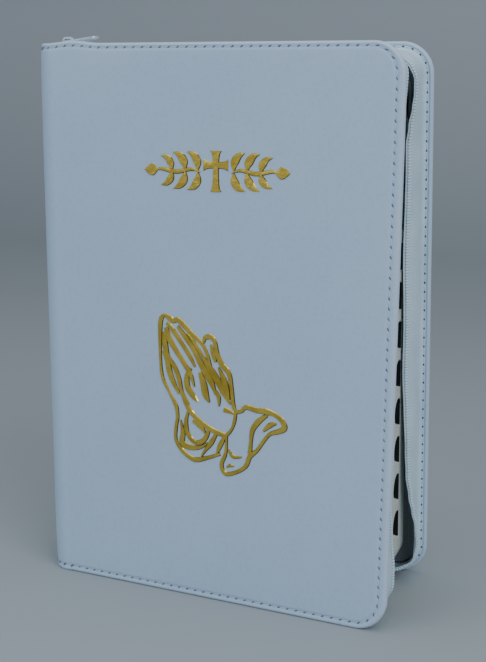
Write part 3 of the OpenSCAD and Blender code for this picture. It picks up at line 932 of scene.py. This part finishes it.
ornament = dict(x=66.7, z=163.85, lift=0.3, bold=1.3)  # mm, along the cover from its hinge
crossArms = (((0, -7.4, 1.9), (0, -5.6, 1.25), (0, 0, 1), (0, 5.6, 1.25), (0, 7.4, 1.9)),
    ((-4.9, 2.2, 1.8), (-3.4, 2.2, 1.2), (0, 2.2, 1), (3.4, 2.2, 1.2), (4.9, 2.2, 1.8)))
leafStems = (((6.3, -0.4, 0.25), (10, 0.5, 0.6), (16, -0.5, 0.75), (22, 0.4, 0.6), (24.2, 0, 0.3)),)
leaves = (  # half of the ornament, mirrored to the other side
    ((7.2, 0.2, 0.3), (7.4, 3.2, 1.3), (9, 5.6, 1.1), (11.6, 6.9, 0.1)),
    ((7.2, -0.5, 0.3), (7.4, -3.4, 1.3), (9, -5.8, 1.1), (11.6, -7, 0.1)),
    ((12.4, 0.4, 0.3), (12.9, 3.2, 1.35), (14.8, 5.6, 1.05), (17.4, 6.6, 0.1)),
    ((12.4, -0.2, 0.3), (12.9, -3.2, 1.35), (14.8, -5.6, 1.05), (17.4, -6.7, 0.1)),
    ((17.8, -0.2, 0.3), (18.3, 2.6, 1.2), (20, 4.6, 0.9), (22.4, 5.3, 0.1)),
    ((17.8, -0.4, 0.3), (18.3, -2.8, 1.2), (20, -4.8, 0.9), (22.4, -5.5, 0.1)),
    ((23.6, 0, 0.2), (25.3, 0, 1.7), (27.2, 0, 1.5), (29.2, 0, 0.1)),
)

# praying hands, drawn as strokes in a box of 53 x 60 mm: (right, up, half width)
hands = dict(x=43.0, z=50.0, lift=0.3, bold=1.3)
handStrokes = (
    # back of the near hand, from its fingertips down to the wrist
    ((2.6, 59.6, 0.5), (0.9, 57.6, 0.9), (0.5, 52, 0.8), (0.6, 43, 0.6), (1.4, 35.6, 0.7),
        (4.4, 29.8, 0.6), (7.2, 25, 0.8), (8, 20.6, 0.7)),
    # fingertips and the top of the fingers
    ((2.6, 59.6, 0.6), (4.6, 58.4, 1), (6, 57.4, 0.8), (8.2, 57.9, 0.9), (11, 55.7, 0.9),
        (14.6, 52.6, 0.8), (18.4, 49.6, 0.7), (20.6, 45.6, 0.7), (21.8, 41.5, 0.7)),
    # the far hand's fingers behind
    ((19, 50, 0.5), (19.6, 52, 0.8), (21.6, 52.6, 0.9), (23.6, 51, 0.8), (24.6, 46.6, 0.9),
        (26.6, 42.6, 1), (29.6, 39.4, 0.9), (30.8, 33.6, 0.8), (31.6, 27.6, 0.8), (33, 25, 0.6)),
    ((22, 49.8, 0.4), (23, 46.4, 0.9), (24, 43.2, 0.6)),
    ((25.2, 41.4, 0.4), (27.2, 37.6, 1), (28.6, 33.4, 1.1), (29.8, 29.4, 0.5)),
    # finger lines of the near hand
    ((3.4, 56.6, 0.7), (6.4, 53.4, 0.9), (9.8, 49, 0.8), (13.2, 44.4, 0.8), (15.4, 40.6, 0.5)),
    ((3, 54.8, 0.8), (4.4, 50.6, 1.1), (7.4, 46, 0.9), (10.6, 41.8, 0.9), (13.4, 37.6, 0.9),
        (15.2, 33, 0.4)),
    ((2.2, 53, 0.7), (2.6, 48.2, 1.1), (4, 43.6, 0.8), (6.8, 39.6, 0.9), (8.6, 35.2, 0.9),
        (9.8, 30.4, 0.8), (12.2, 25.6, 1)),
    ((1.6, 45.6, 0.5), (3.4, 42.4, 0.9), (4.6, 37.6, 1.1), (6.4, 33.4, 0.9), (8.6, 29.6, 0.5)),
    ((8, 55.6, 0.6), (11, 52, 0.9), (14.4, 47.8, 0.9), (17, 43.4, 1), (20, 38.8, 1.2),
        (22.6, 34.8, 1), (24.2, 30.8, 0.4)),
    ((12, 53.2, 0.4), (15.4, 49.4, 0.7), (18.8, 44.6, 0.7), (22, 40.2, 1.2), (25.2, 35.8, 1.2),
        (27.4, 31.6, 0.8), (30.4, 27.8, 0.4)),
    # thumb and the heel of the hand
    ((13.8, 40, 0.5), (12, 37, 0.9), (12.2, 32.8, 1.1), (14.6, 29.4, 1), (16.6, 27.4, 0.4)),
    ((17.4, 38.8, 0.7), (19, 34.6, 1.2), (20, 30.4, 1.2), (21.6, 27.6, 0.4)),
    ((23.4, 33.4, 0.3), (25.4, 30.2, 0.8), (25.6, 26.6, 0.4)),
    # palm line that sweeps down to the sleeve
    ((8.8, 34.4, 0.5), (10.6, 28.4, 0.8), (13.6, 23.2, 0.9), (18.4, 19.4, 0.8), (23.6, 16.8, 0.9),
        (28.6, 15.6, 0.7)),
    ((28.6, 15.6, 0.7), (31, 18.4, 0.6), (32.2, 22, 0.7), (32.6, 25.2, 0.6)),
    ((27.6, 25.6, 0.9), (30.2, 25, 0.7), (32.4, 24.2, 0.4)),
    # near sleeve
    ((8, 20.6, 0.7), (7.2, 16, 0.7), (7.2, 11.6, 0.7), (9.4, 8.2, 0.8), (12.4, 5.8, 0.8),
        (16, 4.8, 0.9), (21, 6.2, 0.7), (26.4, 8.4, 0.6)),
    ((12.6, 23.6, 0.5), (11.6, 19.4, 0.8), (12.2, 14.8, 0.9), (15.4, 11.6, 0.8), (19, 12.6, 0.9),
        (21, 16.2, 0.8), (20.6, 18.8, 0.4)),
    ((14.6, 20, 0.8), (17.6, 18.4, 1.1), (19.8, 15.6, 0.4)),
    ((9.2, 19.6, 0.4), (10.2, 15, 0.9), (10, 10.8, 1.1), (13, 9.4, 1), (17.6, 9.8, 0.7),
        (21, 12, 0.4)),
    ((24.8, 16.4, 0.6), (22.4, 12.2, 0.9), (19.6, 8.6, 0.6), (18.2, 6.2, 0.4)),
    ((28.2, 15.4, 0.6), (26.2, 11.6, 0.9), (24.6, 8, 0.4)),
    # far sleeve with its turned cuff
    ((33, 25, 0.6), (35, 25.8, 0.7), (36.8, 27.4, 0.8), (41, 26.8, 0.9), (45.4, 26.6, 1),
        (48.6, 25.8, 0.8), (51.4, 24, 0.9), (52.6, 21.4, 1), (50.4, 19.8, 0.9), (46.8, 18.4, 0.7),
        (44.2, 15.4, 0.7), (41.6, 11.6, 0.7), (38.6, 8.8, 0.9), (37, 5, 0.8), (33.2, 2.2, 0.7),
        (28.6, 1, 0.8), (26.8, 4.2, 0.8), (28.4, 8.4, 0.7), (28.8, 12.4, 0.6), (28.8, 15.6, 0.6)),
    ((45.6, 25.4, 0.6), (42, 22.6, 1), (39.6, 19, 0.9), (39, 14.4, 0.7), (38.6, 10, 0.9)),
    ((49.4, 22.6, 0.4), (46.6, 21.6, 0.9), (44, 19.2, 0.5)),
    ((29.6, 10.6, 0.4), (31.6, 8, 0.7), (35.4, 8.2, 0.3)),
    ((29, 3.6, 0.3), (30.6, 4.4, 0.6), (32.2, 4.2, 0.2)),
)


def gild(name, at, strokes, node):
    bm = bmesh.new()
    for i, stroke in enumerate(strokes):
        line = smoothLine([((at["x"] + x) * mm, (at["z"] + z) * mm, w * at["bold"] * mm)
            for x, z, w in stroke])
        ribbon(bm, line, (at["lift"] + 0.004 * (i % 5)) * mm)
    piece = finishMesh(name, bm, finishes["gold"], sharp=20)
    piece.data.materials.append(finishes["goldShade"])
    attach(piece, "front_cover")
    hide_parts(node)


mirrored = tuple(tuple((-x, z, w) for x, z, w in leaf) for leaf in leaves + leafStems)
gild("gildedOrnament", ornament, crossArms + leaves + leafStems + mirrored, "front_ornament")
gild("gildedHands", hands, handStrokes, "front_hands")
print("stage: gilding is laid")


# the metal parts keep their made shape and get rounded edges
metalWork = dict(weld=0.01 * mm, flat=math.radians(3), corner=math.radians(35), radius=0.25 * mm)


def roundedCopy(node, name, body):
    bm = bmesh.new()
    bm.from_mesh(frame["nodes"][node].data)
    bmesh.ops.remove_doubles(bm, verts=bm.verts, dist=metalWork["weld"])
    bmesh.ops.dissolve_limit(bm, angle_limit=metalWork["flat"], verts=bm.verts, edges=bm.edges)
    corners = [e for e in bm.edges if e.is_manifold and e.calc_face_angle(0) > metalWork["corner"]]
    bmesh.ops.bevel(bm, geom=corners, offset=metalWork["radius"], segments=3, affect="EDGES", profile=0.5,
        clamp_overlap=True)
    piece = finishMesh(name, bm, finishes["metal"], sharp=50)
    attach(piece, body)
    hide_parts(node)


roundedCopy("slider_body", "sliderBody", "zip_slider")
roundedCopy("slider_bridge", "sliderBridge", "zip_slider")
roundedCopy("pull_tab", "pullTab", "zip_pull")


# a paper strip joins the two halves of the block at the gutter
gutterWork = dict(clear=0.15 * mm, thick=0.25 * mm, reach=1.5, bend=0.3 * mm)  # reach in mm


def makeGutter():
    bm = bmesh.new()
    near, thick = blockLow.x - spineLine.x - gutterWork["clear"], gutterWork["thick"]
    rings = []
    for i in range(13):
        y = (-1 + i / 6) * gutterWork["reach"] * mm
        ring = []
        for x, z in ((near, blockLow.z), (near, blockHigh.z), (near - thick, blockHigh.z),
                (near - thick, blockLow.z)):
            ring.append(bm.verts.new(fromBook(x, y, z)))
        rings.append(ring)
    skin(bm, rings, closed=True)
    strip = finishMesh("gutterStrip", bm, finishes["endpaper"])
    bend = gutterWork["bend"]
    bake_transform(strip, "back_book_half", "front_book_half", start=fromBook(0, bend, 0),
        end=fromBook(0, -bend, 0))


makeGutter()

nodeFinishes = dict(
    front_pages="pages", back_pages="pages", front_flyleaf="endpaper", back_flyleaf="endpaper",
    front_index_labels="label", back_index_labels="label", headbands_front="band", headbands_back="band",
    spine_pad_front="mull", spine_pad_back="mull", spine_lining_front="lining", spine_lining_back="lining",
)
for node, finish in nodeFinishes.items():
    mesh = frame["nodes"][node].data
    mesh.materials.clear()
    mesh.materials.append(finishes[finish])
print("stage: the carried-over parts have their finishes")


# a pale floor that sweeps up to the wall, and soft lights
studio = dict(
    wallAway=0.9, bendRound=0.35, width=3.0, fore=1.6, height=2.2,
    floor=(0.44, 0.485, 0.50, 1), floorFarShade=(0.315, 0.34, 0.36, 1),
    wallLowShade=(0.31, 0.335, 0.36, 1), wallHighLit=(0.41, 0.445, 0.48, 1), mottle=(0.35, 0.37, 0.39, 1),
    sky=(0.78, 0.86, 0.95, 1), skyStrength=0.38, mottleShare=0.12,
    climb=(0.02, 0.26), away=(-0.35, 0.6),  # where the painted light and shade on the wall and the floor change, up and back
)


def makeSweep():
    bm = bmesh.new()
    line = [(-studio["fore"], 0.0)]
    for i in range(17):
        a = math.pi / 2 * i / 16
        y = studio["wallAway"] + studio["bendRound"] * math.sin(a)
        line.append((y, studio["bendRound"] * (1 - math.cos(a))))
    line.append((studio["wallAway"] + studio["bendRound"], studio["height"]))
    rows = [[bm.verts.new((x * studio["width"], y, z)) for x in (-1, -0.33, 0.33, 1)] for y, z in line]
    skin(bm, rows)
    finish, tree, bsdf, place = newFinish("studioPaper", 0.9)
    parts = addNode(tree, "ShaderNodeSeparateXYZ", Vector=place["Object"])
    low, high = studio["climb"]
    near, far = studio["away"]
    share = remap(tree, parts.outputs[2], i1=0.0, i2=low)
    mottled = addNode(tree, "ShaderNodeTexNoise", Vector=place["Object"], Scale=3.0, Detail=3.0)
    # painted light and shade: the wall is darker low down and lighter high up, the floor darker towards the
    # back
    climb = remap(tree, parts.outputs[2], i1=low, i2=high)
    wall = mixColour(tree, climb, studio["wallLowShade"], studio["wallHighLit"])
    away = remap(tree, parts.outputs[1], i1=near, i2=far)
    floor_ = mixColour(tree, away, studio["floor"], studio["floorFarShade"])
    colour = mixColour(tree, share, floor_, wall)
    spots = mathNode(tree, "MULTIPLY", mottled.outputs[0], studio["mottleShare"])
    soft = mixColour(tree, spots, colour, studio["mottle"])
    tree.links.new(soft, bsdf.inputs["Base Color"])
    sweep = finishMesh("studioSweep", bm, finish)


makeSweep()

lights = (  # name, place, aims at, size, watts, colour
    ("keyLight", (1.15, -1.05, 1.15), (0, 0, 0.1), 1.1, 13.4, (0.89, 0.95, 1.0)),
    ("fillLight", (-0.9, -1.1, 0.8), (0, 0, 0.1), 1.2, 4.6, (0.89, 0.95, 1.0)),
    ("topLight", (0.0, 0.0, 1.5), (0, 0, 0.1), 1.2, 5.2, (0.91, 0.96, 1.0)),
)


def makeLights():
    world = bpy.data.worlds.new("studioWorld")
    world.use_nodes = True
    world.node_tree.nodes["Background"].inputs["Color"].default_value = studio["sky"]
    world.node_tree.nodes["Background"].inputs["Strength"].default_value = studio["skyStrength"]
    bpy.context.scene.world = world
    for name, place, aim, size, watts, colour in lights:
        lamp = bpy.data.lights.new(name, "AREA")
        lamp.size, lamp.energy, lamp.color = size, watts, colour
        holder = bpy.data.objects.new(name, lamp)
        holder.location = place
        holder.rotation_euler = (Vector(aim) - Vector(place)).to_track_quat("-Z", "Y").to_euler()
        show(holder)


makeLights()
print("stage: studio is set")
